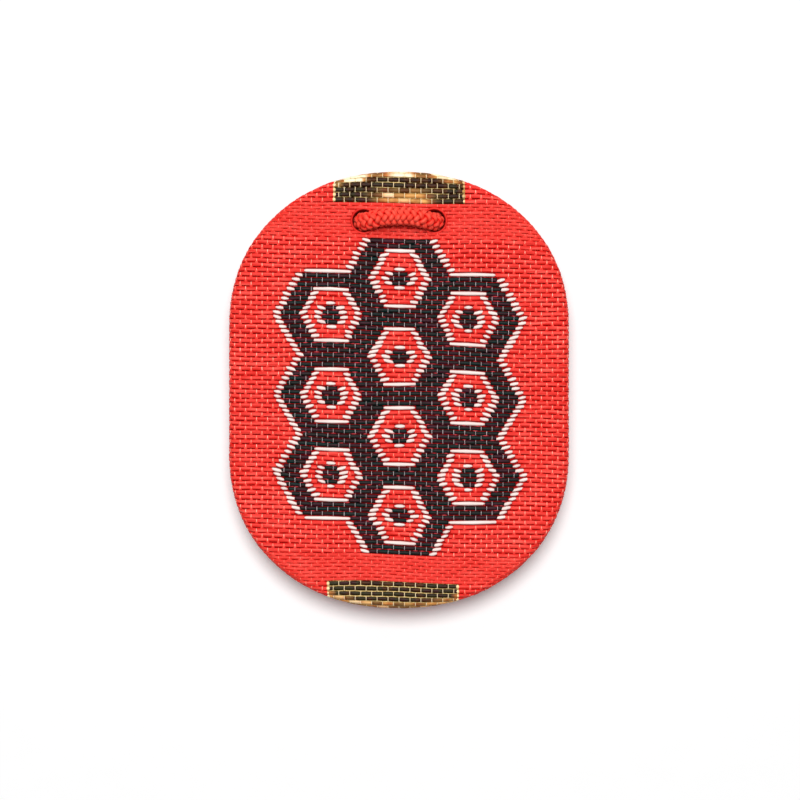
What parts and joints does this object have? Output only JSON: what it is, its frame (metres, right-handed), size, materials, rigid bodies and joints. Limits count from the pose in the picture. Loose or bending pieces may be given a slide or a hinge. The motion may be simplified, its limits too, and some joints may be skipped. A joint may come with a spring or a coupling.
{
  "type": "omamori charm",
  "caption": "Flat lantern-shaped brocade charm with stiff boards and a paper packet inside, gold bands at both ends and a braided hanging cord knotted behind.",
  "frame": {"origin": "middle of the charm's flat back face", "axes": "+Z out of the front face, +Y towards the top edge with the cord holes, +X to the right seen from the front"},
  "size_m": [0.0451, 0.058, 0.0121],
  "materials": {
    "red_brocade": "woven satin brocade",
    "gold_weft": "foil thread, woven",
    "red_cord": "braided",
    "thread": "twisted",
    "felt": "pressed",
    "card": "matt",
    "paper": "matt",
    "cedar": "planed, bare"
  },
  "bodies": {
    "charm": {"front_cover": "red_brocade", "top_gold_band": "gold_weft", "bottom_gold_band": "gold_weft", "front_wadding": "felt", "front_board": "card", "talisman_wrapper": "paper", "talisman_slip": "cedar", "back_board": "card", "back_cover": "red_brocade", "seam_thread": "thread", "cord_front_stitch": "red_cord"},
    "hanging_loop": {"cord_left_strand": "red_cord", "cord_right_strand": "red_cord"}
  },
  "joints": [
    {"name": "loop_swing", "type": "hinge", "parent": "charm", "child": "hanging_loop", "pos_m": [0, 0.0224, -0.00315], "axis": [1, 0, 0], "range_deg": [0, 180]}
  ]
}
